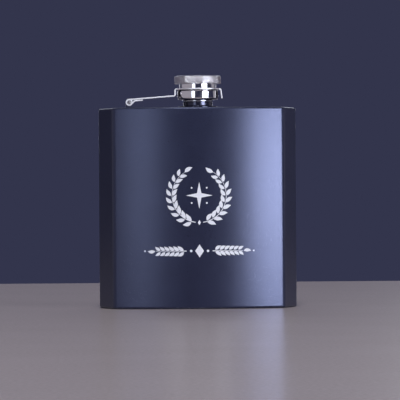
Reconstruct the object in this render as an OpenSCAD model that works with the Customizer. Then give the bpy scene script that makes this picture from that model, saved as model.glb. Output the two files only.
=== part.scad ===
// Hip flask: a curved steel body in welded sheet, a threaded neck, and a screw cap
// that stays on a hinged swing arm. Millimetres. +Z is up and -Y is the bulged front.
// The origin is on the base, in the middle of the width and of the depth.

/* [Body] */
// Width across the two back corners
body_w = 95; // [80:1:120]
// Height of the body without the neck
body_h = 96; // [75:1:130]
// Thickness at the middle of the body
body_t = 23.5; // [19:0.5:32]
// Radius of the bulged front face
face_r = 118; // [95:1:180]
// Radius of the hollow back face
back_r = 215; // [150:5:400]
// How much further out each back corner stands than the front fold
flank_flare = 5.8; // [2:0.1:9]
// Outside radius of the two front folds
front_fold_r = 3.5; // [3:0.1:6]
// Outside radius of the two back corners
back_fold_r = 3.5; // [3:0.1:6]

/* [Sheet] */
// Thickness of the body's sheet
sheet_t = 0.6; // [0.4:0.05:0.75]
// Outside radius where the walls turn under the base
foot_r = 1.2; // [1:0.1:2.2]
// Outside radius where the walls turn over the top
rim_r = 0.9; // [0.8:0.1:2]
// How far the turned edges reach in from the outside of the walls
edge_reach = 2.8; // [2.4:0.1:2.9]

/* [Neck] */
// Radius of the pouring bore
bore_r = 5.6; // [4:0.1:7]
// Wall of the neck behind its thread
neck_wall = 0.9; // [0.7:0.05:1.1]
// How far the plain foot stands out from the root of the thread
foot_out = 0.45; // [0.3:0.05:0.55]
// Height of the plain foot, up to the bead
neck_foot_h = 2.9; // [2.4:0.1:3.6]
// How far the bead stands out from the foot
bead_out = 0.45; // [0.2:0.05:0.6]
// Height of the bead
bead_h = 0.5; // [0.3:0.05:0.7]
// Height of the threaded part above the bead
neck_thread_h = 5; // [4.2:0.1:6]
// Width of the welded flange round the foot
neck_flange_w = 2.25; // [1:0.05:3]
// Height of the welded flange
neck_flange_h = 0.6; // [0.4:0.1:1]
// Length of the neck below the top plate
neck_tail = 1.2; // [0.5:0.1:4]
// Bevel round the lip
lip_bevel = 0.25; // [0.1:0.05:0.4]

/* [Thread] */
// Rise of the thread in one turn
thread_pitch = 1.5; // [1.2:0.1:1.8]
// Depth of both threads
thread_depth = 0.6; // [0.4:0.05:0.75]
// Radial gap between the crests of the two threads
crest_gap = 0.5; // [0.45:0.05:0.7]

/* [Hinge] */
// Distance from the side of the body to the hinge pin
hinge_inset = 14.6; // [13.5:0.1:18]
// Radius of the hinge pin
pin_r = 0.95; // [0.7:0.05:1.2]
// Radial clearance of the arm's curl on the pin
pin_clearance = 0.05; // [0.02:0.01:0.1]
// How far each end of the pin stands out of the arm's curls
pin_out = 0.3; // [0.1:0.05:0.6]
// Dome on each end of the pin
pin_dome = 0.25; // [0.1:0.05:0.4]
// Free height under the arm's curl
curl_gap = 0.35; // [0.2:0.05:0.8]
// Width of the bracket's knuckle, between the arm's two curls
knuckle_w = 4; // [3:0.1:5]
// Gap beside the bracket's knuckle
knuckle_gap = 0.2; // [0.1:0.05:0.5]
// Thickness of the bracket's sheet
bracket_t = 0.6; // [0.5:0.05:0.75]
// Width of the bracket's foot
bracket_w = 8; // [6:0.5:12]
// Length of the bracket's foot, from the pin towards the neck
bracket_foot = 7; // [5:0.5:10]

/* [Swing arm] */
// Thickness of the arm's strip
arm_t = 0.65; // [0.5:0.05:0.8]
// Width of the arm's strip
arm_w = 10; // [8:0.5:12]
// Upward slope of the arm in degrees
arm_slope = 4.3; // [2:0.1:6]
// How far the eye stands out from the collar
eye_out = 1.4; // [1.1:0.05:2]
// Outside radius of the bends beside the eye
eye_bend_r = 1; // [0.85:0.05:1.2]
// Length of the finger tab beyond its bend
tab_len = 3.9; // [2:0.1:5]
// Width of the finger tab
tab_w = 8; // [5:0.5:9]
// Outward splay of the finger tab in degrees
tab_splay = 7; // [0:1:15]
// Length of the curl's lapped end along the arm, from the pin
lap_reach = 6.6; // [5:0.1:8]
// Gap between the lapped end and the arm above it
lap_gap = 0.15; // [0.05:0.05:0.3]
// Room round the bracket's knuckle in the arm's notch
notch_gap = 0.8; // [0.5:0.1:1.2]

/* [Collar] */
// Thickness of the collar's sheet
collar_t = 0.6; // [0.4:0.05:0.75]
// Height of the collar's lower edge above the bead
collar_gap = 0.3; // [0.2:0.05:0.8]
// Outside radius of the collar's rolled lower edge
collar_roll_r = 0.9; // [0.8:0.05:1]
// Outside radius of the collar's shoulder
collar_shoulder_r = 0.9; // [0.8:0.05:1]

/* [Cap] */
// Wall of the cap's stem behind its thread
stem_wall = 0.5; // [0.4:0.05:0.8]
// Radial clearance between the stem and the eye
stem_clearance = 0.1; // [0.05:0.01:0.15]
// Height of the stem's lower edge above the collar's
stem_rise = 0.2; // [0.1:0.05:0.5]
// Height of the cap's retaining flange
flange_h = 0.8; // [0.5:0.1:1]
// How far the retaining flange stands out from the stem
flange_out = 0.5; // [0.4:0.05:0.6]
// Clearance of the retaining flange in the collar
flange_clearance = 0.1; // [0.05:0.01:0.2]
// Turns in which the cap comes off the thread
cap_turns = 1.5; // [1:0.25:2]
// Free height left above the flange when the cap is raised
lift_gap = 0.4; // [0.2:0.05:0.8]
// Thickness of the sealing liner
liner_t = 1.2; // [0.8:0.1:1.5]
// Gap between the liner and the lip of the neck
liner_gap = 0.1; // [0.05:0.05:0.2]
// Radial clearance of the liner inside the cap's thread
liner_clearance = 0.2; // [0.1:0.05:0.4]
// How far the knurled head stands out from the stem
head_out = 2.45; // [1.5:0.05:4]
// Height of the knurled head
head_h = 4; // [3:0.1:7]
// Free height between the eye and the knurled head
head_gap = 2.1; // [1.8:0.1:4]
// Bevel round the edges of the head
head_bevel = 0.45; // [0.2:0.05:0.8]
// Radius of the spigot that holds the head on the stem
spigot_r = 6; // [4:0.1:7]
// Height of the spigot
spigot_h = 2; // [1:0.1:2.5]

/* [Hidden] */
$fn = 96;

// How far cutting shapes run past what they cut
over = 1;
// Steps in which each arc of the body's section is drawn
face_steps = 28;
fold_steps = 9;
corner_steps = 16;
back_steps = 24;
// Steps in which the foot, the rim and the small bends are drawn
foot_steps = 6;
rim_steps = 4;
bend_steps = 8;

// Body section, seen from above with the front face's middle at y = 0 before shift_y
fold_x = body_w / 2 - flank_flare - front_fold_r;
fold_y = face_r - sqrt(pow(face_r - front_fold_r, 2) - fold_x * fold_x);
corner_x = body_w / 2 - back_fold_r;
back_centre_y = body_t + back_r;
corner_y = back_centre_y - sqrt(pow(back_r + back_fold_r, 2) - corner_x * corner_x);
body_d = corner_y + back_fold_r;
shift_y = -body_d / 2;

// Centres of the four kinds of arc in the section
face_centre = [0, face_r + shift_y];
fold_centre = [fold_x, fold_y + shift_y];
corner_centre = [corner_x, corner_y + shift_y];
back_centre = [0, back_centre_y + shift_y];

// Directions in which neighbouring stretches of the section meet
function direction(from, to) = atan2(to[1] - from[1], to[0] - from[0]);
face_end_a = direction(face_centre, fold_centre);
flank_a = direction(corner_centre, fold_centre)
        + acos((back_fold_r - front_fold_r) / norm(fold_centre - corner_centre));
corner_end_a = direction(corner_centre, back_centre);

// Radii round the cap's axis, from the bore outwards
neck_root_r = bore_r + neck_wall;
neck_r = neck_root_r + foot_out;
neck_flange_r = neck_r + neck_flange_w;
crest_r = neck_root_r + thread_depth;
cap_crest_r = crest_r + crest_gap;
cap_root_r = cap_crest_r + thread_depth;
stem_r = cap_root_r + stem_wall;
eye_hole_r = stem_r + stem_clearance;
flange_r = stem_r + flange_out;
collar_r = flange_r + flange_clearance + collar_t;
eye_r = collar_r + eye_out;
head_r = stem_r + head_out;

// Heights of the neck, the cap and the arm, from the body upwards
top_z = body_h;
neck_y = body_t / 2 + shift_y;
bead_z = top_z + neck_foot_h;
thread_z = bead_z + bead_h;
lip_z = thread_z + neck_thread_h;
liner_z = lip_z + liner_gap;
ceiling_z = liner_z + liner_t;
collar_bottom_z = thread_z + collar_gap;
stem_bottom_z = collar_bottom_z + stem_rise;
flange_z = collar_bottom_z + collar_t + flange_clearance;
cap_travel = cap_turns * thread_pitch;
collar_top_z = flange_z + flange_h + cap_travel + lift_gap + collar_t;
eye_top_z = collar_top_z + arm_t;
head_z = eye_top_z + head_gap;

// Hinge
curl_inner_r = pin_r + pin_clearance;
curl_r = curl_inner_r + arm_t;
knuckle_r = pin_r + bracket_t;
pin_x = hinge_inset - body_w / 2;
pin_z = top_z + bracket_t + curl_gap + curl_r;
pin_len = arm_w + 2 * pin_out;

// Half heights of a thread's ridge at its root and crest, and how deep its root is buried
ridge_root_half = 0.36 * thread_pitch;
ridge_crest_half = 0.12 * thread_pitch;
ridge_buried = 0.12;
// Steps in one turn of a thread, and in the quarter turn over which its ends run out
turn_steps = 36;
run_out_steps = turn_steps / 4;
// Free height between a thread's end and the edge beside it
thread_end_gap = 0.2;
// How far the arm's flat ends run into the ring of the eye
tongue_overlap = 0.4;

// ---------------------------------------------------------------- helpers

// Points along an arc
function arc(centre, radius, from_a, to_a, steps) =
    [for (i = [0 : steps]) let (a = from_a + (to_a - from_a) * i / steps)
        centre + radius * [cos(a), sin(a)]];

// Stations along the body's section: each is a place on the outside and the outward direction
function bulging(centre, radius, from_a, to_a, steps) =
    [for (i = [0 : steps]) let (a = from_a + (to_a - from_a) * i / steps, out = [cos(a), sin(a)])
        [centre + radius * out, out]];
function hollow(centre, radius, from_a, to_a, steps) =
    [for (i = [0 : steps]) let (a = from_a + (to_a - from_a) * i / steps, out = [cos(a), sin(a)])
        [centre + radius * out, -out]];
function without_first(list) = [for (i = [1 : len(list) - 1]) list[i]];
function without_last(list) = [for (i = [0 : len(list) - 2]) list[i]];
function reversed(list) = [for (i = [len(list) - 1 : -1 : 0]) list[i]];
function mirrored(stations) = [for (s = stations) [[-s[0][0], s[0][1]], [-s[1][0], s[1][1]]]];
function both_halves(right) = concat(reversed(mirrored(without_first(right))), right);

// Right halves, each starting in the middle of its face, then whole sheets, anticlockwise from above
front_right = concat(
    bulging(face_centre, face_r, -90, face_end_a, face_steps / 2),
    without_first(bulging(fold_centre, front_fold_r, face_end_a, flank_a, fold_steps)),
    [bulging(corner_centre, back_fold_r, flank_a, corner_end_a, corner_steps)[0]]);
back_right = concat(
    hollow(back_centre, back_r, -90, corner_end_a - 180, back_steps / 2),
    without_first(bulging(corner_centre, back_fold_r, corner_end_a, flank_a, corner_steps)));
front_stations = both_halves(front_right);
back_stations = reversed(both_halves(back_right));

// The whole outline, drawn smaller all round by inset
function section(inset) =
    [for (s = concat(front_stations, without_first(without_last(back_stations))))
        s[0] - inset * s[1]];

// The sheet cut from top to bottom: how far in from the outside, and the height
wall_outside = concat(
    [[edge_reach, 0]],
    arc([foot_r, foot_r], foot_r, 270, 180, foot_steps),
    arc([rim_r, body_h - rim_r], rim_r, 180, 90, rim_steps),
    [[edge_reach, body_h]]);
wall_inside = concat(
    [[edge_reach, sheet_t]],
    arc([foot_r, foot_r], foot_r - sheet_t, 270, 180, foot_steps),
    arc([rim_r, body_h - rim_r], rim_r - sheet_t, 180, 90, rim_steps),
    [[edge_reach, body_h - sheet_t]]);

// Sheet with turned edges, swept along stations that run anticlockwise seen from above
module pressed_sheet(stations) {
    pairs = len(wall_outside);
    ring = 2 * pairs;
    profile = concat(wall_outside, [for (i = [pairs - 1 : -1 : 0]) wall_inside[i]]);
    last = (len(stations) - 1) * ring;
    points = [for (s = stations, p = profile) let (place = s[0] - p[0] * s[1])
        [place[0], place[1], p[1]]];
    sides = [for (i = [0 : len(stations) - 2], k = [0 : ring - 1])
        let (a = i * ring + k, b = i * ring + (k + 1) % ring)
        each [[a, b, b + ring], [a, b + ring, a + ring]]];
    ends = [for (k = [0 : pairs - 2]) let (k_in = ring - 1 - k)
        each [[k, k_in, k_in - 1, k + 1],
              [last + k, last + k + 1, last + k_in - 1, last + k_in]]];
    polyhedron(points = points, faces = concat(sides, ends), convexity = 6);
}

// A helical ridge between two heights: root and crest are radii, and the ends run out
module thread_ridge(root, crest, low_z, high_z) {
    climb = high_z - low_z - 2 * ridge_root_half;
    steps = floor(climb / thread_pitch * turn_steps);
    buried = root - sign(crest - root) * ridge_buried;
    outward = crest > root;
    function fullness(i) = min(1, (i + 1) / run_out_steps, (steps - i + 1) / run_out_steps);
    function at(r, z, i) = [r * cos(i * 360 / turn_steps), r * sin(i * 360 / turn_steps),
                            low_z + ridge_root_half + i * thread_pitch / turn_steps + z];
    points = [for (i = [0 : steps]) let (tip = root + (crest - root) * fullness(i))
        each [at(buried, -ridge_root_half, i), at(tip, -ridge_crest_half, i),
              at(tip, ridge_crest_half, i), at(buried, ridge_root_half, i)]];
    function ring_quad(a, b) = outward ? [a, b, b + 4, a + 4] : [a + 4, b + 4, b, a];
    sides = [for (i = [0 : steps - 1], k = [0 : 3])
        let (q = ring_quad(4 * i + k, 4 * i + (k + 1) % 4))
        each [[q[0], q[1], q[2]], [q[0], q[2], q[3]]]];
    last = 4 * steps;
    ends = outward ? [[3, 2, 1, 0], [last, last + 1, last + 2, last + 3]]
                   : [[0, 1, 2, 3], [last + 3, last + 2, last + 1, last]];
    polyhedron(points = points, faces = concat(sides, ends), convexity = 8);
}

// ---------------------------------------------------------------- body

// Front face, both folds and both flanks, pressed from one sheet
module front_shell() {
    color("#23242c") pressed_sheet(front_stations);
}

// Hollow back with the two rounded corners, welded to the flanks
module back_shell() {
    color("#1f2028") pressed_sheet(back_stations);
}

// Flat plate inside the turned upper edges, with the hole for the neck
module top_plate() {
    color("#262730") difference() {
        translate([0, 0, top_z - sheet_t]) linear_extrude(sheet_t) polygon(section(edge_reach));
        translate([0, neck_y, top_z - sheet_t - over]) cylinder(r = neck_r, h = sheet_t + 2 * over);
    }
}

// Flat plate inside the turned lower edges, which the flask stands on
module base_plate() {
    color("#1c1d24") linear_extrude(sheet_t) polygon(section(edge_reach));
}

// Turned neck: flange, plain foot, bead and external thread round the pouring bore
module filler_neck() {
    tail_z = top_z - sheet_t - neck_tail;
    color("#101116") translate([0, neck_y, 0]) difference() {
        union() {
            rotate_extrude() polygon([
                [0, tail_z],
                [neck_r, tail_z],
                [neck_r, top_z],
                [neck_flange_r, top_z],
                [neck_flange_r, top_z + neck_flange_h],
                [neck_r, top_z + neck_flange_h],
                [neck_r, bead_z],
                [neck_r + bead_out, bead_z + bead_h / 4],
                [neck_r + bead_out, bead_z + bead_h * 3 / 4],
                [neck_root_r, thread_z],
                [neck_root_r, lip_z - lip_bevel],
                [neck_root_r - lip_bevel, lip_z],
                [0, lip_z]]);
            thread_ridge(neck_root_r, crest_r, thread_z + thread_end_gap, lip_z - lip_bevel);
        }
        translate([0, 0, tail_z - over]) cylinder(r = bore_r, h = lip_z - tail_z + 2 * over);
    }
}

// ---------------------------------------------------------------- hinge

// Folded bracket: a foot welded to the top plate, rising into one knuckle round the pin
module hinge_bracket() {
    color("#17181d") translate([pin_x, neck_y, 0]) {
        difference() {
            translate([0, 0, pin_z]) rotate([90, 0, 0])
                cylinder(r = knuckle_r, h = knuckle_w, center = true);
            translate([0, 0, pin_z]) rotate([90, 0, 0])
                cylinder(r = pin_r, h = knuckle_w + 2 * over, center = true);
        }
        translate([-knuckle_r, -knuckle_w / 2, top_z]) cube([bracket_t, knuckle_w, pin_z - top_z]);
        translate([-knuckle_r, -bracket_w / 2, top_z])
            cube([knuckle_r + bracket_foot, bracket_w, bracket_t]);
    }
}

// Pin held tight in the bracket, with the arm's two curls running on its ends
module hinge_pin() {
    color("#c9cbd0") translate([pin_x, neck_y - pin_len / 2, pin_z]) rotate([-90, 0, 0])
        rotate_extrude() polygon([
            [0, 0],
            [pin_r - pin_dome, 0],
            [pin_r, pin_dome],
            [pin_r, pin_len - pin_dome],
            [pin_r - pin_dome, pin_len],
            [0, pin_len]]);
}

// The arm's strip seen from the front, from the curl to the bend above the eye
module arm_outline() {
    bend_inner_r = eye_bend_r - arm_t;
    turn_v = curl_r + bend_inner_r;
    turn_x = -eye_r - bend_inner_r;
    turn_u = (turn_x - pin_x + turn_v * sin(arm_slope)) / cos(arm_slope);
    turn = [turn_x, pin_z + turn_u * sin(arm_slope) + turn_v * cos(arm_slope)];
    along = [cos(arm_slope), sin(arm_slope)];
    away = [-sin(arm_slope), cos(arm_slope)];
    top_turn = [-eye_r + eye_bend_r, eye_top_z - eye_bend_r];
    tongue_x = -eye_hole_r - tongue_overlap;
    polygon(concat(
        [[pin_x, pin_z] + curl_r * away],
        arc(turn, bend_inner_r, -90 + arm_slope, 0, bend_steps),
        arc(top_turn, eye_bend_r, 180, 90, bend_steps),
        [[tongue_x, eye_top_z], [tongue_x, eye_top_z - arm_t]],
        arc(top_turn, bend_inner_r, 90, 180, bend_steps),
        arc(turn, eye_bend_r, 0, -90 + arm_slope, bend_steps),
        [[pin_x, pin_z] + curl_inner_r * away]));
}

// The curl's free end, which comes up from under the pin and lies close below the arm
module lapped_end() {
    // Where the end leaves the round of the curl, in degrees from straight down
    tuck_a = 40;
    lap_top = curl_inner_r - lap_gap;
    rise = (lap_top + curl_inner_r * cos(tuck_a)) / sin(tuck_a);
    inner_corner = curl_inner_r * [sin(tuck_a), -cos(tuck_a)] + rise * [cos(tuck_a), sin(tuck_a)];
    outer_corner = inner_corner + arm_t * [tan(tuck_a / 2), -1];
    translate([pin_x, pin_z]) rotate(arm_slope) polygon([
        curl_inner_r * [sin(tuck_a), -cos(tuck_a)],
        curl_r * [sin(tuck_a), -cos(tuck_a)],
        outer_corner,
        [lap_reach, lap_top - arm_t],
        [lap_reach, lap_top],
        inner_corner]);
}

// The finger tab seen from the front, from inside the eye's edge
module tab_outline() {
    turn = [eye_r - eye_bend_r, eye_top_z - eye_bend_r];
    bend_inner_r = eye_bend_r - arm_t;
    down = tab_len * [sin(tab_splay), -cos(tab_splay)];
    outside = arc(turn, eye_bend_r, 90, tab_splay, bend_steps);
    inside = arc(turn, bend_inner_r, tab_splay, 90, bend_steps);
    tongue_x = eye_hole_r + tongue_overlap;
    polygon(concat(
        [[tongue_x, eye_top_z]],
        outside,
        [outside[bend_steps] + down, inside[0] + down],
        inside,
        [[tongue_x, eye_top_z - arm_t]]));
}

// One strip: curl, arm, upright, eye round the cap's stem, and finger tab
module swing_arm() {
    notch_reach = knuckle_r + notch_gap;
    notch_w = knuckle_w + 2 * knuckle_gap;
    color("#d5d6da") translate([0, neck_y, 0]) difference() {
        union() {
            translate([0, arm_w / 2, 0]) rotate([90, 0, 0]) linear_extrude(arm_w) arm_outline();
            translate([0, arm_w / 2, 0]) rotate([90, 0, 0]) linear_extrude(arm_w) lapped_end();
            translate([pin_x, 0, pin_z]) rotate([90, 0, 0])
                cylinder(r = curl_r, h = arm_w, center = true);
            translate([0, tab_w / 2, 0]) rotate([90, 0, 0]) linear_extrude(tab_w) tab_outline();
            intersection() {
                translate([0, 0, collar_top_z]) cylinder(r = eye_r, h = arm_t);
                translate([-eye_r + eye_bend_r, -eye_r, collar_top_z - over])
                    cube([2 * (eye_r - eye_bend_r), 2 * eye_r, arm_t + 2 * over]);
            }
        }
        translate([0, 0, collar_top_z - over]) cylinder(r = eye_hole_r, h = arm_t + 2 * over);
        translate([pin_x, 0, pin_z]) rotate([90, 0, 0])
            cylinder(r = curl_inner_r, h = arm_w + 2 * over, center = true);
        translate([pin_x - notch_reach, -notch_w / 2, pin_z - 2 * curl_r])
            cube([2 * notch_reach, notch_w, 4 * curl_r]);
    }
}

// ---------------------------------------------------------------- cap

// Drawn cup welded under the eye: it guides the stem and hides the threads
module cap_collar() {
    shoulder = [collar_r - collar_shoulder_r, collar_top_z - collar_shoulder_r];
    roll = [collar_r - collar_roll_r, collar_bottom_z + collar_roll_r];
    color("#cfd0d6") translate([0, neck_y, 0]) rotate_extrude() polygon(concat(
        [[eye_hole_r, collar_top_z]],
        arc(shoulder, collar_shoulder_r, 90, 0, bend_steps),
        arc(roll, collar_roll_r, 0, -90, bend_steps),
        arc(roll, collar_roll_r - collar_t, -90, 0, bend_steps),
        arc(shoulder, collar_shoulder_r - collar_t, 0, 90, bend_steps),
        [[eye_hole_r, collar_top_z - collar_t]]));
}

// Polished stem with the internal thread, the retaining flange and the head's spigot
module cap_body() {
    color("#d9dade") translate([0, neck_y, 0]) union() {
        rotate_extrude() polygon([
            [cap_root_r, stem_bottom_z],
            [stem_r, stem_bottom_z],
            [stem_r, flange_z],
            [flange_r, flange_z],
            [flange_r, flange_z + flange_h],
            [stem_r, flange_z + flange_h],
            [stem_r, head_z],
            [spigot_r, head_z],
            [spigot_r, head_z + spigot_h],
            [0, head_z + spigot_h],
            [0, ceiling_z],
            [cap_root_r, ceiling_z]]);
        thread_ridge(cap_root_r, cap_crest_r, stem_bottom_z + thread_end_gap / 2, lip_z);
    }
}

// Knurled head pressed onto the spigot
module cap_head() {
    color("#dcdde2") translate([0, neck_y, head_z]) difference() {
        rotate_extrude() polygon([
            [0, 0],
            [head_r - head_bevel, 0],
            [head_r, head_bevel],
            [head_r, head_h - head_bevel],
            [head_r - head_bevel, head_h],
            [0, head_h]]);
        translate([0, 0, -over]) cylinder(r = spigot_r, h = spigot_h + over);
    }
}

// Soft disc in the roof of the cap that seals on the lip of the neck
module cap_liner() {
    color("#3a3b40") translate([0, neck_y, liner_z])
        cylinder(r = cap_crest_r - liner_clearance, h = liner_t);
}

front_shell();
back_shell();
top_plate();
base_plate();
filler_neck();
hinge_bracket();
hinge_pin();
swing_arm();
cap_collar();
cap_body();
cap_head();
cap_liner();
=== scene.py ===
"""A hip flask: finer shells, threads, knurling, an etched ornament and real finishes on the CAD frame."""
import math

import bmesh
import bpy
from mathutils import Matrix, Vector

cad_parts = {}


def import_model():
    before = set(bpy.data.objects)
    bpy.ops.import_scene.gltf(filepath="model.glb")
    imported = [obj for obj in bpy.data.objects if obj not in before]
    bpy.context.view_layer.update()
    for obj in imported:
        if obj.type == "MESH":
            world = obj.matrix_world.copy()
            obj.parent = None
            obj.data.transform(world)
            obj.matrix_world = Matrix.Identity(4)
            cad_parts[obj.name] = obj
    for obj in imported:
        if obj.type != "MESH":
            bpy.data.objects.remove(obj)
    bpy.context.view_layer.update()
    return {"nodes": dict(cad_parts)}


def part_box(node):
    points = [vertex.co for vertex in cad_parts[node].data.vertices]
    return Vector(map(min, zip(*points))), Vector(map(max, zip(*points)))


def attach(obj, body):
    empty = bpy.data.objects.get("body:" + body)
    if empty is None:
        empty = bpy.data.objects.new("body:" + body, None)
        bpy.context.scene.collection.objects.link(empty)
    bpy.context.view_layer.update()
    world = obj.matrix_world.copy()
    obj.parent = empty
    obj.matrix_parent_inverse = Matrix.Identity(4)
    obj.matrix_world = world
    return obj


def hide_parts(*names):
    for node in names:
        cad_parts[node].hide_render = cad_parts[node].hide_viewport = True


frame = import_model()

# The flask's lengths are in millimetres until piece() puts them into metres. The stage's are in metres.
MM = 0.001


def box(node):
    """Lowest and highest corner of a CAD node in millimetres."""
    low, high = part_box(node)
    return low / MM, high / MM


# ---------------------------------------------------------------- sizes

# Body: its outside comes from the frame, its curves are the design's own
BACK_LOW, BACK_HIGH = box("back_shell")
BODY_W = BACK_HIGH.x - BACK_LOW.x
BODY_H = BACK_HIGH.z
BODY_T = 23.5
FACE_R = 118
HOLLOW_R = 215
FLANK_FLARE = 5.8
FOLD_R = 3.5
CORNER_R = 3.5
SHEET = 0.6
FOOT_R = 1.2
RIM_R = 0.9
EDGE_REACH = 2.8
# The coated walls stand this far inside the frame, which leaves room for what lies on them
SKIN = 0.03

# Neck, hinge and cap: their places and outer radii come from the frame
NECK_LOW, NECK_HIGH = box("filler_neck")
PIN_LOW, PIN_HIGH = box("hinge_pin")
COLLAR_LOW, COLLAR_HIGH = box("cap_collar")
STEM_LOW, STEM_HIGH = box("cap_body")
HEAD_LOW, HEAD_HIGH = box("cap_head")
LINER_LOW, LINER_HIGH = box("cap_liner")
AXIS = Vector((0, (NECK_LOW.y + NECK_HIGH.y) / 2, 0))
BORE_R = 5.6
NECK_R = 6.95
FLANGE_H = 0.6
NECK_FOOT_H = 2.9
BEAD_OUT = 0.45
BEAD_H = 0.5
LIP_BEVEL = 0.3
NECK_ROOT_R = 6.5
CAP_ROOT_R = 8.2
STEM_R = 8.7
STEM_FLANGE_H = 0.8
STEM_FLANGE_CLEAR = 0.1
EYE_HOLE_R = 8.8
COLLAR_SHEET = 0.6
COLLAR_SHOULDER_R = 0.9
COLLAR_ROLL_R = 0.9
SPIGOT_R = 6
SPIGOT_H = 2
# Room between the liner and the roof of the cap, so that they don't touch as they turn
LINER_CLEAR = 0.03

# Thread of the neck and the cap, with its foot and flanks as shares of the pitch
PITCH = 1.5
THREAD_DEPTH = 0.6
THREAD_HALF_FOOT = 0.36
THREAD_FLANK = 0.24
THREAD_MARGIN = 0.7
LIP_MARGIN = 0.8
THREAD_STEP = 0.07

# Head: two sets of knurling grooves cross, with walls as steep as KNURL_STEEPNESS, and one set is narrower
KNURL_STARTS = 54
KNURL_DEPTH = 0.32
KNURL_STEEPNESS = 1.25
KNURL_NARROWER = 1.7
HEAD_BEVEL = 0.45
HEAD_CROWN = 0.12

# Steps in which arcs and turned pieces are drawn
FACE_STEPS = 96
FOLD_STEPS = 20
CORNER_STEPS = 36
HOLLOW_STEPS = 72
EDGE_STEPS = 10
COLLAR_STEPS = 12
ROUNDING_STEPS = 6
KNURL_STEPS = 10
PIN_SEGMENTS = 48
LATHE_SEGMENTS = 160

# Two numbers this close are the same length
SAME = 0.001


# ---------------------------------------------------------------- materials

# Nearly all of a noise texture's values lie between these
NOISE_LOW = 0.3
NOISE_HIGH = 0.7


def new_material(name):
    """An empty material with its shader, and coordinates that stay with the piece."""
    material = bpy.data.materials.new(name)
    material.use_nodes = True
    tree = material.node_tree
    coordinates = tree.nodes.new("ShaderNodeTexCoord").outputs["Object"]
    return material, tree, tree.nodes["Principled BSDF"], coordinates


def constants(shader, **values):
    """Sets the sockets that are the same all over a surface, with _ for a space."""
    for name, value in values.items():
        shader.inputs[name.replace("_", " ")].default_value = value


def noise(tree, coordinates, size_mm, detail=2.0, stretch=(1, 1, 1)):
    """Noise whose grains are about size_mm across."""
    mapping = tree.nodes.new("ShaderNodeMapping")
    mapping.inputs["Scale"].default_value = stretch
    tree.links.new(coordinates, mapping.inputs["Vector"])
    texture = tree.nodes.new("ShaderNodeTexNoise")
    texture.inputs["Scale"].default_value = 1 / (size_mm * MM)
    texture.inputs["Detail"].default_value = detail
    tree.links.new(mapping.outputs["Vector"], texture.inputs["Vector"])
    return texture.outputs["Fac"]


def spread(tree, value, low, high, to_low, to_high):
    """Maps a value between low and high to between to_low and to_high."""
    node = tree.nodes.new("ShaderNodeMapRange")
    for socket, number in zip(list(node.inputs)[1:5], (low, high, to_low, to_high)):
        socket.default_value = number
    tree.links.new(value, node.inputs["Value"])
    return node.outputs["Result"]


def spread_noise(tree, value, to_low, to_high):
    """Maps noise to between to_low and to_high."""
    return spread(tree, value, NOISE_LOW, NOISE_HIGH, to_low, to_high)


def blend_colours(tree, share, dark, light):
    """A colour between dark and light, each a colour or a socket."""
    node = tree.nodes.new("ShaderNodeMix")
    node.data_type = "RGBA"
    tree.links.new(share, node.inputs["Factor"])
    # A Mix node lists its colour sockets after those for numbers and vectors
    for socket, colour in ((node.inputs[6], dark), (node.inputs[7], light)):
        if isinstance(colour, tuple):
            socket.default_value = (*colour, 1)
        else:
            tree.links.new(colour, socket)
    return node.outputs[2]


def arithmetic(tree, operation, first, second):
    """An operation on two values, each a socket or a number."""
    node = tree.nodes.new("ShaderNodeMath")
    node.operation = operation
    for socket, value in zip(node.inputs, (first, second)):
        if isinstance(value, (int, float)):
            socket.default_value = value
        else:
            tree.links.new(value, socket)
    return node.outputs["Value"]


def sum_of(tree, first, second, share):
    """Two values added up, the first by its share and the second by the rest."""
    return arithmetic(tree, "ADD", arithmetic(tree, "MULTIPLY", first, share),
                      arithmetic(tree, "MULTIPLY", second, 1 - share))


def facing(tree, axis):
    """How squarely the surface faces one way or the other along an axis, from 0 to 1."""
    parts = tree.nodes.new("ShaderNodeSeparateXYZ")
    tree.links.new(tree.nodes.new("ShaderNodeNewGeometry").outputs["Normal"], parts.inputs["Vector"])
    return arithmetic(tree, "ABSOLUTE", parts.outputs[axis], 0)


def bump(tree, shader, *layers):
    """Bump from layers of (height, depth in millimetres), one on another."""
    below = None
    for height, depth in layers:
        node = tree.nodes.new("ShaderNodeBump")
        node.inputs["Distance"].default_value = depth * MM
        tree.links.new(height, node.inputs["Height"])
        if below:
            tree.links.new(below, node.inputs["Normal"])
        below = node.outputs["Normal"]
    tree.links.new(below, shader.inputs["Normal"])


def powder_coat():
    """Satin navy-black powder coat: fine grain on a softer orange peel, a little worn on its edges."""
    material, tree, shader, place = new_material("powder_coat")
    grain = noise(tree, place, 0.36, 3)
    peel = noise(tree, place, 1.1, 1)
    cloud = noise(tree, place, 14, 2)
    tone = sum_of(tree, grain, cloud, 0.6)
    colour = blend_colours(tree, spread_noise(tree, tone, 0, 1), (0.007, 0.008, 0.020), (0.014, 0.016, 0.037))
    # Wear lies in patches along the turned edges, which face neither sideways nor straight up
    upright = facing(tree, "Z")
    edge = arithmetic(tree, "MULTIPLY", spread(tree, upright, 0.2, 0.6, 0, 1),
                      spread(tree, upright, 0.88, 0.97, 1, 0))
    scuff = spread(tree, noise(tree, place, 0.9, 4), 0.56, 0.68, 0, 1)
    wear = arithmetic(tree, "MULTIPLY", edge, scuff)
    worn = blend_colours(tree, arithmetic(tree, "MULTIPLY", wear, 0.5), colour, (0.16, 0.165, 0.19))
    tree.links.new(worn, shader.inputs["Base Color"])
    tree.links.new(spread_noise(tree, grain, 0.27, 0.37), shader.inputs["Roughness"])
    constants(shader, IOR=1.5, Specular_IOR_Level=0.8, Specular_Tint=(0.59, 0.66, 1, 1))
    bump(tree, shader, (peel, 0.003), (grain, 0.017))
    return material


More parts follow.
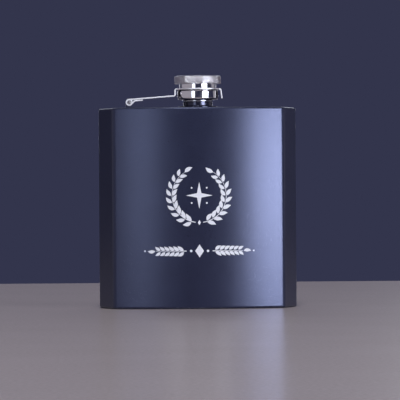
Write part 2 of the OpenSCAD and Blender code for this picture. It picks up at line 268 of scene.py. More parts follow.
def gloss_coat():
    """Smooth gloss black on the neck, with the ripple of a dipped coat, rubbed bare on the bead."""
    material, tree, shader, place = new_material("gloss_coat")
    place_parts = tree.nodes.new("ShaderNodeSeparateXYZ")
    tree.links.new(place, place_parts.inputs["Vector"])
    bead_middle = (BODY_H + NECK_FOOT_H + BEAD_H / 2) * MM
    over_bead = arithmetic(tree, "SUBTRACT", place_parts.outputs["Z"], bead_middle)
    off_bead = arithmetic(tree, "ABSOLUTE", over_bead, 0)
    bare_half, coated_half = 0.24 * MM, 0.32 * MM
    bare = spread(tree, off_bead, bare_half, coated_half, 1, 0)
    ripple = noise(tree, place, 2.5, 1)
    speck = noise(tree, place, 0.4, 2)
    coat = blend_colours(tree, speck, (0.006, 0.006, 0.014), (0.012, 0.012, 0.022))
    tree.links.new(blend_colours(tree, bare, coat, (0.62, 0.62, 0.66)), shader.inputs["Base Color"])
    tree.links.new(bare, shader.inputs["Metallic"])
    tree.links.new(spread_noise(tree, speck, 0.17, 0.25), shader.inputs["Roughness"])
    constants(shader, IOR=1.5, Specular_IOR_Level=0.6, Specular_Tint=(0.66, 0.70, 1, 1))
    bump(tree, shader, (ripple, 0.012))
    return material


def metal(name, dark, light, rough, scratch_mm, scratch_depth, stretch=(1, 1, 1)):
    """Bare metal: fine scratches drawn out by stretch, and a slow cloud of handling in its gloss."""
    material, tree, shader, place = new_material(name)
    scratch = noise(tree, place, scratch_mm, 3, stretch)
    cloud = noise(tree, place, 3.5, 3)
    tree.links.new(blend_colours(tree, scratch, dark, light), shader.inputs["Base Color"])
    tree.links.new(spread_noise(tree, sum_of(tree, scratch, cloud, 0.4), *rough), shader.inputs["Roughness"])
    constants(shader, Metallic=1.0)
    bump(tree, shader, (scratch, scratch_depth))
    return material


def strip_steel():
    """Polished strip whose sheared edges are left satin."""
    material = metal("strip_steel", dark=(0.80, 0.80, 0.83), light=(0.90, 0.90, 0.93), rough=(0.08, 0.18),
                     scratch_mm=0.30, scratch_depth=0.0007, stretch=(0.08, 1, 1))
    tree = material.node_tree
    shader = tree.nodes["Principled BSDF"]
    polish = shader.inputs["Roughness"].links[0].from_socket
    satin = spread(tree, facing(tree, "Y"), 0.5, 0.9, 0, 0.48)
    tree.links.new(arithmetic(tree, "MAXIMUM", polish, satin), shader.inputs["Roughness"])
    return material


def knurled_steel():
    """Turned steel with painted shade that darkens the bottom of its knurling grooves."""
    material = metal("knurled_steel", dark=(0.82, 0.81, 0.85), light=(0.92, 0.91, 0.95), rough=(0.08, 0.18),
                     scratch_mm=0.35, scratch_depth=0.0006)
    tree = material.node_tree
    shader = tree.nodes["Principled BSDF"]
    bright = shader.inputs["Base Color"].links[0].from_socket
    level = (1, 1, 0)
    offset = tree.nodes.new("ShaderNodeVectorMath")
    offset.operation = "MULTIPLY_ADD"
    tree.links.new(tree.nodes.new("ShaderNodeTexCoord").outputs["Object"], offset.inputs[0])
    offset.inputs[1].default_value = level
    offset.inputs[2].default_value = -AXIS * MM
    from_axis = tree.nodes.new("ShaderNodeVectorMath")
    from_axis.operation = "LENGTH"
    tree.links.new(offset.outputs["Vector"], from_axis.inputs[0])
    radius = (HEAD_HIGH.x - HEAD_LOW.x) / 2
    # Painted shade: towards the bottom of the grooves the knurl's base colour turns nearly black, as if in
    # shadow
    fully_shaded_r, unshaded_r = radius - 0.9 * KNURL_DEPTH, radius - 0.35 * KNURL_DEPTH
    crest = spread(tree, from_axis.outputs["Value"], fully_shaded_r * MM, unshaded_r * MM, 0, 1)
    # The top and underside lie nearer the axis than the grooves do, and get no painted shade
    flat = spread(tree, facing(tree, "Z"), 0.62, 0.8, 0, 1)
    unshaded = arithmetic(tree, "MAXIMUM", crest, flat)
    tree.links.new(blend_colours(tree, unshaded, (0.20, 0.195, 0.215), bright), shader.inputs["Base Color"])
    return material


def liner_rubber():
    """Matte moulded disc with a fine tooth."""
    material, tree, shader, place = new_material("liner_rubber")
    tooth = noise(tree, place, 0.25, 3)
    tree.links.new(blend_colours(tree, tooth, (0.030, 0.030, 0.033), (0.060, 0.060, 0.066)),
                   shader.inputs["Base Color"])
    tree.links.new(spread_noise(tree, tooth, 0.62, 0.78), shader.inputs["Roughness"])
    constants(shader, IOR=1.5)
    bump(tree, shader, (tooth, 0.02))
    return material


def etched_steel():
    """Matte pale steel laid bare by the engraver's laser, with its fine scan lines."""
    material, tree, shader, place = new_material("etched_steel")
    scan = noise(tree, place, 0.22, 2, (0.25, 1, 1.6))
    frost = noise(tree, place, 0.6, 2)
    tone = spread_noise(tree, sum_of(tree, scan, frost, 0.6), 0, 1)
    tree.links.new(blend_colours(tree, tone, (0.68, 0.69, 0.73), (0.82, 0.83, 0.87)),
                   shader.inputs["Base Color"])
    tree.links.new(spread_noise(tree, frost, 0.55, 0.75), shader.inputs["Roughness"])
    constants(shader, Metallic=0.15)
    bump(tree, shader, (scan, 0.006))
    return material


MATERIALS = {
    "powder_coat": powder_coat(),
    "gloss_coat": gloss_coat(),
    "polished_steel": metal("polished_steel", dark=(0.62, 0.61, 0.62), light=(0.72, 0.71, 0.72),
                            rough=(0.07, 0.16), scratch_mm=0.30, scratch_depth=0.0007, stretch=(1, 1, 0.08)),
    "knurled_steel": knurled_steel(),
    "strip_steel": strip_steel(),
    "pin_steel": metal("pin_steel", dark=(0.42, 0.42, 0.43), light=(0.58, 0.58, 0.60),
                       rough=(0.20, 0.34), scratch_mm=0.20, scratch_depth=0.002, stretch=(1, 0.1, 1)),
    "liner_rubber": liner_rubber(),
    "etched_steel": etched_steel(),
}


# ---------------------------------------------------------------- mesh helpers


def piece(name, solid, material, slot, body, *stands_for, sharp=35):
    """A closed solid of (points, faces) in millimetres, riding on a body in place of CAD nodes."""
    points, faces = solid
    mesh = bpy.data.meshes.new(name)
    mesh.from_pydata([Vector(p) * MM for p in points], [], faces)
    work = bmesh.new()
    work.from_mesh(mesh)
    bmesh.ops.recalc_face_normals(work, faces=work.faces)
    work.to_mesh(mesh)
    work.free()
    mesh.shade_smooth()
    mesh.set_sharp_from_angle(angle=math.radians(sharp))
    mesh.materials.append(MATERIALS[material])
    made = bpy.data.objects.new(name, mesh)
    bpy.context.scene.collection.objects.link(made)
    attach(made, body)
    if stands_for:
        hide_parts(*stands_for)
    return made


def arc(centre, radius, start, end, steps):
    """Points along an arc, with angles in degrees."""
    angles = [math.radians(start + (end - start) * i / steps) for i in range(steps + 1)]
    return [(centre[0] + radius * math.cos(a), centre[1] + radius * math.sin(a)) for a in angles]


def rounded(outline, steps=ROUNDING_STEPS):
    """An open outline whose points (r, z, rounding) are turned into small curves."""
    # A curve takes at most one part in side_over_reach of the sides that meet at its corner
    side_over_reach = 2.05
    soft = [outline[0][:2]]
    for before, corner, after in zip(outline, outline[1:], outline[2:]):
        middle = Vector(corner[:2])
        if corner[2] == 0:
            soft.append(tuple(middle))
            continue
        ends = []
        for near in (before, after):
            towards = Vector(near[:2]) - middle
            ends.append(middle + towards.normalized() * min(corner[2], towards.length / side_over_reach))
        for i in range(steps + 1):
            t = i / steps
            soft.append(tuple(ends[0] * (1 - t) ** 2 + middle * 2 * t * (1 - t) + ends[1] * t ** 2))
    return soft + [outline[-1][:2]]


def rows(radius, start, end, step):
    """Outline points straight up or down from start to end, about step apart."""
    count = max(1, round(abs(end - start) / step))
    return [(radius, start + (end - start) * i / count, 0) for i in range(count + 1)]


def lathe(outline, shape=None, segments=LATHE_SEGMENTS, axis=AXIS):
    """A solid turned about a vertical axis. shape(r, z, angle) may change each point's radius."""
    hollow = outline[0][0] > 0
    points, rings = [], []
    for radius, z in outline:
        turned = segments if radius > 0 else 1
        rings.append([len(points) + s for s in range(turned)])
        for s in range(turned):
            angle = math.tau * s / segments
            reach = shape(radius, z, angle) if shape and radius > 0 else radius
            points.append(axis + Vector((reach * math.cos(angle), reach * math.sin(angle), z)))
    faces = []
    for below, above in zip(rings, rings[1:] + (rings[:1] if hollow else [])):
        for s in range(segments):
            corners = []
            for ring, at in ((below, s), (below, s + 1), (above, s + 1), (above, s)):
                corner = ring[at % len(ring)]
                if corner not in corners:
                    corners.append(corner)
            faces.append(corners)
    return points, faces


def ridge(z, angle, first, last):
    """Fullness, from 0 to 1, of a right-hand thread whose crest climbs from first to last."""
    turn = angle / math.tau
    crest = first + PITCH * (round((z - first) / PITCH - turn) + turn)
    run_out = PITCH / 4
    fade = min(1, max(0, (crest - first) / run_out), max(0, (last - crest) / run_out))
    off_crest = abs(z - crest) / PITCH
    return fade * min(1, max(0, (THREAD_HALF_FOOT - off_crest) / THREAD_FLANK))


# ---------------------------------------------------------------- body


def body_stations():
    """Stations round the body as (place, outward) pairs: the front sheet's, then the back sheet's."""
    fold_x = BODY_W / 2 - FLANK_FLARE - FOLD_R
    fold_y = FACE_R - math.sqrt((FACE_R - FOLD_R) ** 2 - fold_x ** 2)
    corner_x = BODY_W / 2 - CORNER_R
    hollow_y = BODY_T + HOLLOW_R
    corner_y = hollow_y - math.sqrt((HOLLOW_R + CORNER_R) ** 2 - corner_x ** 2)
    shift = -(corner_y + CORNER_R) / 2
    face, fold = Vector((0, FACE_R + shift)), Vector((fold_x, fold_y + shift))
    corner, hollow = Vector((corner_x, corner_y + shift)), Vector((0, hollow_y + shift))

    def towards(start, end):
        return math.degrees(math.atan2(end.y - start.y, end.x - start.x))

    def along(centre, radius, start, end, steps, sign=1):
        outward = [sign * Vector(p) for p in arc((0, 0), 1, start, end, steps)]
        return [(centre + sign * radius * out, out) for out in outward]

    face_end = towards(face, fold)
    flank = towards(corner, fold) + math.degrees(math.acos((CORNER_R - FOLD_R) / (fold - corner).length))
    corner_end = towards(corner, hollow)
    front = along(face, FACE_R, -90, face_end, FACE_STEPS // 2)
    front += along(fold, FOLD_R, face_end, flank, FOLD_STEPS)[1:]
    front += along(corner, CORNER_R, flank, corner_end, CORNER_STEPS)[:1]
    back = along(corner, CORNER_R, flank, corner_end, CORNER_STEPS)
    back += along(hollow, HOLLOW_R, corner_end - 180, -90, HOLLOW_STEPS // 2, -1)[1:]

    def mirrored(stations):
        return [(Vector((-p.x, p.y)), Vector((-out.x, out.y))) for p, out in reversed(stations)]

    return mirrored(front)[:-1] + front, back[:-1] + mirrored(back), face


FRONT_STATIONS, BACK_STATIONS, FACE_CENTRE = body_stations()


def pressed_sheet(stations):
    """The sheet with turned edges, swept round the body along its stations."""
    foot, rim = (FOOT_R + SKIN, FOOT_R), (RIM_R + SKIN, BODY_H - RIM_R)
    outside = [(EDGE_REACH, 0)] + arc(foot, FOOT_R, 270, 180, EDGE_STEPS)
    outside += arc(rim, RIM_R, 180, 90, EDGE_STEPS) + [(EDGE_REACH, BODY_H)]
    inside = [(EDGE_REACH, SHEET)] + arc(foot, FOOT_R - SHEET, 270, 180, EDGE_STEPS)
    inside += arc(rim, RIM_R - SHEET, 180, 90, EDGE_STEPS) + [(EDGE_REACH, BODY_H - SHEET)]
    cut = outside + inside[::-1]
    points = [(p.x - out.x * inward, p.y - out.y * inward, z) for p, out in stations for inward, z in cut]
    ring, last = len(cut), (len(stations) - 1) * len(cut)
    faces = [(i * ring + k, i * ring + (k + 1) % ring, (i + 1) * ring + (k + 1) % ring, (i + 1) * ring + k)
             for i in range(len(stations) - 1) for k in range(ring)]
    for first in (0, last):
        for k in range(len(outside) - 1):
            faces.append((first + k, first + k + 1, first + ring - 2 - k, first + ring - 1 - k))
    return points, faces


piece("front_shell_skin", pressed_sheet(FRONT_STATIONS), "powder_coat", "powder_coat", "flask", "front_shell")
piece("back_shell_skin", pressed_sheet(BACK_STATIONS), "powder_coat", "powder_coat", "flask", "back_shell")


# ---------------------------------------------------------------- etched ornament

# Where the ornament lies on the front
WREATH_Z = 54.0
WREATH_R = 12.9
RULE_Z = 27.6

# Its sprigs: the leaves' angle to the stem in degrees, their gaps from it in half stem widths, how
# much of their spacing is left bare at the start, and the shares by which leaves and stem dwindle
LEAF_ANGLE = 34
LEAF_GAP = 2.1
TIP_GAP = 2.2
LEAF_BOW = 0.09
BARE_STEM = 0.6
STEM_TAPER = 0.6
LEAVES_SHORTEN = 0.2
LEAVES_NARROW = 0.15
LEAF_STEPS = 14
LEAST_HALF_WIDTH = 0.02

# Its dots
BIG_DOT_R = 0.6
SMALL_DOT_R = 0.42
DOT_SIDES = 24

# Share of a path over which its direction is taken
NEAR = 0.01

# How far the ornament stands out of the coat and reaches into it, and the width of the upright
# strips in which it is bent round the face
ETCH_OUT = 0.012
ETCH_IN = 0.05
ETCH_STRIP = 1.0


class Etching:
    """Small flat shapes in (x, z), gathered and then laid on the bulged face as thin solids."""

    def __init__(self):
        self.flat = bmesh.new()

    def shape(self, outline):
        """One flat shape, given by its outline."""
        self.flat.faces.new([self.flat.verts.new((x, 0, z)) for x, z in outline])

    def dot(self, x, z, radius):
        """One round dot."""
        self.shape(arc((x, z), radius, 0, 360 - 360 / DOT_SIDES, DOT_SIDES - 1))

    def ribbon(self, path, half_width, steps):
        """A strip along path(t), as wide as half_width(t) to each side."""
        left, right = [], []
        for i in range(steps + 1):
            t = i / steps
            here, ahead, behind = (Vector(path(u)) for u in (t, min(1, t + NEAR), max(0, t - NEAR)))
            tangent = (ahead - behind).normalized()
            side = Vector((-tangent.y, tangent.x)) * max(LEAST_HALF_WIDTH, half_width(t))
            left.append(self.flat.verts.new((here.x + side.x, 0, here.y + side.y)))
            right.append(self.flat.verts.new((here.x - side.x, 0, here.y - side.y)))
        for i in range(steps):
            self.flat.faces.new((left[i], right[i], right[i + 1], left[i + 1]))

    def leaf(self, base, angle, length, half_width):
        """A pointed leaf from base, in the direction angle, bowed a little."""
        def path(t):
            bow = LEAF_BOW * length * math.sin(math.pi * t)
            return (base[0] + length * t * math.cos(angle) - bow * math.sin(angle),
                    base[1] + length * t * math.sin(angle) + bow * math.cos(angle))
        self.ribbon(path, lambda t: half_width * math.sin(math.pi * t ** 0.85), LEAF_STEPS)

    def sprig(self, path, leaves, leaf_length, leaf_half, stem_half, steps):
        """A stem along path(t) that thins out, with leaves in pairs and one at its end."""
        self.ribbon(path, lambda t: stem_half * (1 - STEM_TAPER * t), steps)
        for i in range(leaves + 1):
            t = (i + BARE_STEM) / (leaves + BARE_STEM) if i < leaves else 1
            here, ahead = Vector(path(min(t, 1 - NEAR))), Vector(path(min(t, 1 - NEAR) + NEAR))
            tangent = math.atan2(ahead.y - here.y, ahead.x - here.x)
            along = Vector((math.cos(tangent), math.sin(tangent)))
            across = Vector((-along.y, along.x))
            if i == leaves:
                self.leaf(tuple(here + TIP_GAP * stem_half * along), tangent, leaf_length, leaf_half)
                continue
            for side in (-1, 1):
                base = here + side * LEAF_GAP * stem_half * across
                turn = tangent + side * math.radians(LEAF_ANGLE)
                self.leaf(tuple(base), turn, leaf_length * (1 - LEAVES_SHORTEN * t),
                          leaf_half * (1 - LEAVES_NARROW * t))

    def solid(self):
        """The shapes cut into upright strips, bent round the face and given their thickness."""
        reach = max(abs(v.co.x) for v in self.flat.verts)
        for i in range(-int(reach / ETCH_STRIP), int(reach / ETCH_STRIP) + 1):
            everything = self.flat.verts[:] + self.flat.edges[:] + self.flat.faces[:]
            bmesh.ops.bisect_plane(self.flat, geom=everything, dist=1e-5,
                                   plane_co=(i * ETCH_STRIP, 0, 0), plane_no=(1, 0, 0))
        bmesh.ops.triangulate(self.flat, faces=self.flat.faces)
        self.flat.verts.index_update()
        points = []
        for depth in (ETCH_OUT, -ETCH_IN):
            radius = FACE_R - SKIN + depth
            for v in self.flat.verts:
                angle = math.asin(v.co.x / FACE_R)
                points.append((radius * math.sin(angle), FACE_CENTRE.y - radius * math.cos(angle), v.co.z))
        count = len(self.flat.verts)
        faces = []
        for face in self.flat.faces:
            corners = [v.index for v in face.verts]
            faces += [corners, [count + c for c in reversed(corners)]]
            for loop in face.loops:
                if loop.edge.is_boundary:
                    a, b = loop.vert.index, loop.link_loop_next.vert.index
                    faces.append((b, a, count + a, count + b))
        self.flat.free()
        return points, faces


def star(x, z, points, long_r, short_r):
    """The outline of a star with sharp points."""
    radii = [long_r, short_r] * points
    turns = [math.pi * i / points for i in range(2 * points)]
    return [(x + r * math.sin(a), z + r * math.cos(a)) for r, a in zip(radii, turns)]


def emblem():
    """An open wreath of leaves round a four-pointed star with four dots."""
    etching = Etching()
    start, sweep = -82, 140
    dot_out = 3.6
    for side in (-1, 1):
        def path(t, side=side):
            angle = math.radians(start + sweep * t)
            return side * WREATH_R * math.cos(angle), WREATH_Z + WREATH_R * math.sin(angle)
        etching.sprig(path, leaves=9, leaf_length=4.3, leaf_half=0.95, stem_half=0.2, steps=60)
        for up in (-1, 1):
            etching.dot(side * dot_out, WREATH_Z + up * dot_out, SMALL_DOT_R)
    etching.shape(star(0, WREATH_Z - WREATH_R, points=2, long_r=1.25, short_r=0.75))
    etching.shape(star(0, WREATH_Z, points=4, long_r=6.4, short_r=1.5))
    return etching.solid()


def rule():
    """A lozenge between two level sprigs, each with a dot before and after it."""
    etching = Etching()
    start, length = 6.2, 14.6
    inner_dot, outer_dot = 4.0, 25.9
    etching.shape(star(0, RULE_Z, points=2, long_r=3.1, short_r=2.1))
    for side in (-1, 1):
        def path(t, side=side):
            return side * (start + length * t), RULE_Z
        etching.dot(side * inner_dot, RULE_Z, BIG_DOT_R)
        etching.sprig(path, leaves=6, leaf_length=3.5, leaf_half=0.8, stem_half=0.22, steps=24)
        etching.dot(side * outer_dot, RULE_Z, SMALL_DOT_R)
    return etching.solid()


piece("etched_emblem", emblem(), "etched_steel", "etched_steel", "flask")
piece("etched_rule", rule(), "etched_steel", "etched_steel", "flask")


# ---------------------------------------------------------------- neck


def filler_neck():
    """Turned neck with its welded flange, bead and external thread."""
    flange_r = (NECK_HIGH.x - NECK_LOW.x) / 2
    bead_z, bead_r = BODY_H + NECK_FOOT_H, NECK_R + BEAD_OUT
    root_z = bead_z + BEAD_H
    lip_z, tail_z = NECK_HIGH.z, NECK_LOW.z
    middle_z = (tail_z + lip_z) / 2
    first, last = root_z + THREAD_MARGIN, lip_z - LIP_MARGIN
    # The outline starts and ends on the wall of the bore
    outline = rounded([
        (BORE_R, middle_z, 0), (BORE_R, tail_z, 0.2), (NECK_R, tail_z, 0.2),
        (NECK_R, BODY_H, 0), (flange_r, BODY_H, 0.15), (flange_r, BODY_H + FLANGE_H, 0.35),
        (NECK_R, BODY_H + FLANGE_H, 0.45), (NECK_R, bead_z, 0.12), (bead_r, bead_z, 0.2),
        (bead_r, root_z, 0.2), *rows(NECK_ROOT_R, root_z, lip_z - LIP_BEVEL, THREAD_STEP),
        (NECK_ROOT_R - LIP_BEVEL, lip_z, 0.12), (BORE_R, lip_z, 0.25), (BORE_R, middle_z + 1, 0)])

    def shape(radius, z, angle):
        threaded = abs(radius - NECK_ROOT_R) < SAME
        return radius + (THREAD_DEPTH * ridge(z, angle, first, last) if threaded else 0)

    return lathe(outline, shape)


piece("filler_neck_turned", filler_neck(), "gloss_coat", "gloss_coat", "flask", "filler_neck")


# ---------------------------------------------------------------- hinge


def hinge_pin():
    """Drawn pin with domed ends, lying across the flask."""
    length = PIN_HIGH.y - PIN_LOW.y
    radius = (PIN_HIGH.z - PIN_LOW.z) / 2
    dome, flat_r = 0.3, 0.8 * radius
    outline = rounded([(0, 0, 0), (flat_r, 0, 0.1), (radius, dome, 0.2),
                       (radius, length - dome, 0.2), (flat_r, length, 0.1), (0, length, 0)])
    points, faces = lathe(outline, segments=PIN_SEGMENTS, axis=Vector((0, 0, 0)))
    middle = (PIN_LOW + PIN_HIGH) / 2
    lie = Matrix.Translation((middle.x, PIN_LOW.y, middle.z)) @ Matrix.Rotation(math.radians(-90), 4, "X")
    return [lie @ p for p in points], faces


piece("hinge_pin_turned", hinge_pin(), "pin_steel", "pin_steel", "flask", "hinge_pin")


# ---------------------------------------------------------------- plates, bracket and arm

# These keep their CAD meshes. An edge that turns by more degrees than SHARP_EDGE stays sharp or is
# bevelled, and faces that turn by fewer than FLAT_EDGE are joined before the bevel
SHARP_EDGE = 40
FLAT_EDGE = 0.5
WELD_REACH = 0.002
BEVEL_SEGMENTS = 3


def smooth_by_angle(limit):
    """A geometry group that shades everything smooth except across edges that turn by more than limit."""
    tree = bpy.data.node_groups.new("smooth_by_angle", "GeometryNodeTree")
    tree.interface.new_socket("Geometry", in_out="INPUT", socket_type="NodeSocketGeometry")
    tree.interface.new_socket("Geometry", in_out="OUTPUT", socket_type="NodeSocketGeometry")
    faces = tree.nodes.new("GeometryNodeSetShadeSmooth")
    edges = tree.nodes.new("GeometryNodeSetShadeSmooth")
    edges.domain = "EDGE"
    edges.inputs["Shade Smooth"].default_value = False
    turn = tree.nodes.new("GeometryNodeInputMeshEdgeAngle").outputs["Unsigned Angle"]
    tree.links.new(tree.nodes.new("NodeGroupInput").outputs[0], faces.inputs["Geometry"])
    tree.links.new(faces.outputs["Geometry"], edges.inputs["Geometry"])
    tree.links.new(arithmetic(tree, "GREATER_THAN", turn, math.radians(limit)), edges.inputs["Selection"])
    tree.links.new(edges.outputs["Geometry"], tree.nodes.new("NodeGroupOutput").inputs[0])
    return tree


SMOOTHING = smooth_by_angle(SHARP_EDGE)


def finish_node(name, material, bevel_mm=0):
    """Gives a CAD node its finish, and if asked a small bevel along its sharp edges."""
    node = frame["nodes"][name]
    node.data.materials.clear()
    node.data.materials.append(MATERIALS[material])
    if bevel_mm:
        weld = node.modifiers.new("Weld", "WELD")
        weld.merge_threshold = WELD_REACH * MM
        flat = node.modifiers.new("Flat", "DECIMATE")
        flat.decimate_type = "DISSOLVE"
        flat.angle_limit = math.radians(FLAT_EDGE)
        soft = node.modifiers.new("Soft", "BEVEL")
        soft.width = bevel_mm * MM
        soft.segments = BEVEL_SEGMENTS
        soft.limit_method = "ANGLE"
        soft.angle_limit = math.radians(SHARP_EDGE)
        node.modifiers.new("Smooth", "NODES").node_group = SMOOTHING
        node.modifiers.new("Normals", "WEIGHTED_NORMAL").keep_sharp = True


finish_node("top_plate", "powder_coat")
finish_node("base_plate", "powder_coat")
finish_node("hinge_bracket", "powder_coat", bevel_mm=0.1)
finish_node("swing_arm", "strip_steel", bevel_mm=0.24)


# ---------------------------------------------------------------- cap


def cap_collar():
    """Drawn cup under the eye, with a soft shoulder and an edge rolled inwards."""
    radius = (COLLAR_HIGH.x - COLLAR_LOW.x) / 2
    top, bottom = COLLAR_HIGH.z, COLLAR_LOW.z
    shoulder = (radius - COLLAR_SHOULDER_R, top - COLLAR_SHOULDER_R)
    roll = (radius - COLLAR_ROLL_R, bottom + COLLAR_ROLL_R)
    outline = [(EYE_HOLE_R, top)]
    outline += arc(shoulder, COLLAR_SHOULDER_R, 90, 0, COLLAR_STEPS)
    outline += arc(roll, COLLAR_ROLL_R, 0, -90, COLLAR_STEPS)
    outline += arc(roll, COLLAR_ROLL_R - COLLAR_SHEET, -90, 0, COLLAR_STEPS)
    outline += arc(shoulder, COLLAR_SHOULDER_R - COLLAR_SHEET, 0, 90, COLLAR_STEPS)
    outline.append((EYE_HOLE_R, top - COLLAR_SHEET))
    return lathe(outline)


def cap_body():
    """Polished stem with its retaining flange and its internal thread."""
    bottom, top = STEM_LOW.z, STEM_HIGH.z
    flange_r = (STEM_HIGH.x - STEM_LOW.x) / 2
    flange_z = COLLAR_LOW.z + COLLAR_SHEET + STEM_FLANGE_CLEAR
    flange_top = flange_z + STEM_FLANGE_H
    ceiling = LINER_HIGH.z
    mouth_bevel, corner_room = 0.1, 0.3
    first, last = bottom + THREAD_MARGIN, LINER_LOW.z - THREAD_MARGIN
    outline = rounded([
        (0, ceiling, 0), (CAP_ROOT_R, ceiling, 0.1),
        *rows(CAP_ROOT_R, ceiling - corner_room, bottom + mouth_bevel, THREAD_STEP),
        (CAP_ROOT_R + mouth_bevel, bottom, 0.05), (STEM_R, bottom, 0.12), (STEM_R, flange_z, 0.05),
        (flange_r, flange_z, 0.15), (flange_r, flange_top, 0.15), (STEM_R, flange_top, 0.05),
        (STEM_R, HEAD_LOW.z, 0), (SPIGOT_R, HEAD_LOW.z, 0.05), (SPIGOT_R, top, 0.2), (0, top, 0)])

    def shape(radius, z, angle):
        threaded = abs(radius - CAP_ROOT_R) < SAME
        return radius - (THREAD_DEPTH * ridge(z, angle, first, last) if threaded else 0)

    return lathe(outline, shape)


def cap_head():
    """Head with a diamond knurl round it, bevelled edges, a turned crown and the spigot's recess."""
    radius = (HEAD_HIGH.x - HEAD_LOW.x) / 2
    bottom, top = HEAD_LOW.z, HEAD_HIGH.z
    shoulder = top - HEAD_CROWN
    diamond = math.tau * radius / KNURL_STARTS
    bevel_r, inset = radius - HEAD_BEVEL, 0.02
    outline = rounded([
        (0, bottom + SPIGOT_H, 0), (SPIGOT_R, bottom + SPIGOT_H, 0.05), (SPIGOT_R, bottom, 0.05),
        (bevel_r - 0.3, bottom, 0.1), *rows(radius, bottom + inset, shoulder - inset, diamond / KNURL_STEPS),
        (bevel_r - 0.25, shoulder, 0.1), (radius - 1.6, top - inset, 0.8),
        (radius * 0.45, top, 0.8), (0, top, 0)])

    def groove(turns):
        """One set of grooves: 1 on the crest between two of them, 0 at the bottom of one."""
        return abs((turns % 1) - 0.5) * 2

    def shape(reach, z, angle):
        if abs(reach - radius) > SAME:
            return reach
        around, up = KNURL_STARTS * angle / math.tau, (z - bottom) / diamond
        height = min(groove(around + up), KNURL_NARROWER * groove(around - up))
        to_edge = min(z - bottom, shoulder - z)
        bevel = max(0, HEAD_BEVEL - to_edge)
        return min(radius - KNURL_DEPTH * (1 - min(1, KNURL_STEEPNESS * height)), radius - bevel)

    return lathe(outline, shape, segments=KNURL_STARTS * KNURL_STEPS)


def cap_liner():
    """Sealing disc with soft edges and the shallow ring that the lip has pressed into it."""
    radius = (LINER_HIGH.x - LINER_LOW.x) / 2
    low, high = LINER_LOW.z, LINER_HIGH.z - LINER_CLEAR
    print_r, print_half, print_depth = (BORE_R + NECK_ROOT_R) / 2, 0.5, 0.12
    print_z = low + print_depth
    return lathe(rounded([
        (0, low, 0), (print_r - print_half, low, 0.1), (print_r - print_half / 2, print_z, 0.1),
        (print_r + print_half / 2, print_z, 0.1), (print_r + print_half, low, 0.1),
        (radius, low, 0.2), (radius, high, 0.15), (0, high, 0)]))


piece("cap_collar_drawn", cap_collar(), "polished_steel", "polished_steel", "arm", "cap_collar")
piece("cap_body_turned", cap_body(), "polished_steel", "polished_steel", "cap", "cap_body")
piece("cap_head_knurled", cap_head(), "knurled_steel", "polished_steel", "cap", "cap_head", sharp=50)
piece("cap_liner_disc", cap_liner(), "liner_rubber", "liner_rubber", "liner", "cap_liner")


# ---------------------------------------------------------------- stage

FLOOR_HALF_W = 1.6
FLOOR_FRONT = -1.8
FLOOR_BACK = 0.5

# Name, azimuth, elevation, distance, width, height, power and colour of each light
LIGHTS = (
    ("right_box", 41.5, 0, 3.0, 1.5, 0.9, 108, (0.86, 0.89, 1)),
    ("left_box", -27, 4, 1.7, 0.48, 0.8, 4.4, (0.84, 0.89, 1)),
    ("left_panel", -80, 6, 1.5, 2.8, 0.9, 3.0, (1, 0.93, 0.99)),
    ("back_panel", 112, 6, 1.5, 0.9, 0.9, 1.0, (1, 0.93, 0.94)),
    ("overhead", -3, 60, 1.5, 0.18, 1.4, 12, (0.95, 0.96, 1)),
    ("rim_left", -163, 20, 1.5, 0.2, 0.9, 1.6, (0.9, 0.93, 1)),
    ("rim_right", 165, 20, 1.5, 0.2, 0.9, 1.6, (0.9, 0.93, 1)),
    ("back_box", 185, 52, 1.6, 1.3, 1.0, 3.0, (0.9, 0.93, 1)),
)


def floor_material():
    """Pale satin surface, very slightly clouded."""
    material, tree, shader, place = new_material("floor")
    cloud = noise(tree, place, 60, 3)
    tooth = noise(tree, place, 1.5, 2)
    tree.links.new(blend_colours(tree, cloud, (0.50, 0.43, 0.415), (0.56, 0.48, 0.465)),
                   shader.inputs["Base Color"])
    tree.links.new(spread_noise(tree, tooth, 0.20, 0.26), shader.inputs["Roughness"])
    bump(tree, shader, (tooth, 0.015))
    return material


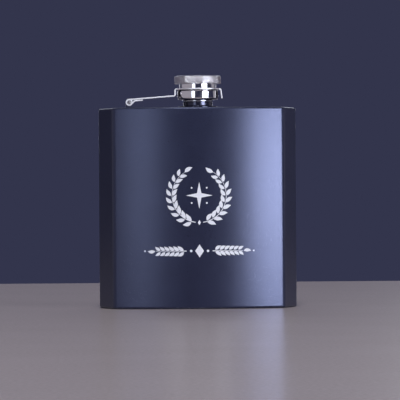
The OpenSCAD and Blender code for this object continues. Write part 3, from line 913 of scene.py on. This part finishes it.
def floor():
    """A plain level surface that ends a little way behind the flask."""
    mesh = bpy.data.meshes.new("floor")
    corners = [(-FLOOR_HALF_W, FLOOR_FRONT), (FLOOR_HALF_W, FLOOR_FRONT),
               (FLOOR_HALF_W, FLOOR_BACK), (-FLOOR_HALF_W, FLOOR_BACK)]
    mesh.from_pydata([(x, y, 0) for x, y in corners], [], [(0, 1, 2, 3)])
    mesh.materials.append(floor_material())
    made = bpy.data.objects.new("floor", mesh)
    bpy.context.scene.collection.objects.link(made)


def softbox(name, azimuth, elevation, distance, width, height, power, colour):
    """An area light at an angle round the flask, in degrees, facing its middle."""
    light = bpy.data.lights.new(name, "AREA")
    light.shape = "RECTANGLE"
    light.size, light.size_y = width, height
    light.energy = power
    light.color = colour
    a, e = math.radians(azimuth), math.radians(elevation)
    out = Vector((math.sin(a) * math.cos(e), -math.cos(a) * math.cos(e), math.sin(e)))
    made = bpy.data.objects.new(name, light)
    made.location = out * distance + Vector((0, 0, BODY_H / 2 * MM))
    made.rotation_mode = "QUATERNION"
    made.rotation_quaternion = out.to_track_quat("Z", "Y")
    made.visible_camera = False
    bpy.context.scene.collection.objects.link(made)


def world():
    """Slate-blue surroundings, as plain as a painted wall."""
    surroundings = bpy.data.worlds.new("surroundings")
    surroundings.use_nodes = True
    background = surroundings.node_tree.nodes["Background"]
    background.inputs["Color"].default_value = (0.033, 0.0356, 0.0723, 1)
    bpy.context.scene.world = surroundings


def camera():
    """A long lens level with the middle of the flask, a little to its left."""
    distance, azimuth, roll = 1.6, -1.8, -0.4
    sensor_mm, focal_mm = 36, 300.5
    target = Vector((0.0008, 0, 0.0518))
    lens = bpy.data.cameras.new("camera")
    lens.sensor_width = sensor_mm
    lens.lens = focal_mm
    a = math.radians(azimuth)
    back = Vector((math.sin(a), -math.cos(a), 0))
    made = bpy.data.objects.new("camera", lens)
    made.location = target + back * distance
    made.rotation_mode = "QUATERNION"
    made.rotation_quaternion = ((-back).to_track_quat("-Z", "Y")
                                @ Matrix.Rotation(math.radians(roll), 3, "Z").to_quaternion())
    bpy.context.scene.collection.objects.link(made)
    bpy.context.scene.camera = made


floor()
world()
camera()
for light in LIGHTS:
    softbox(*light)
bpy.context.scene.view_settings.view_transform = "Standard"
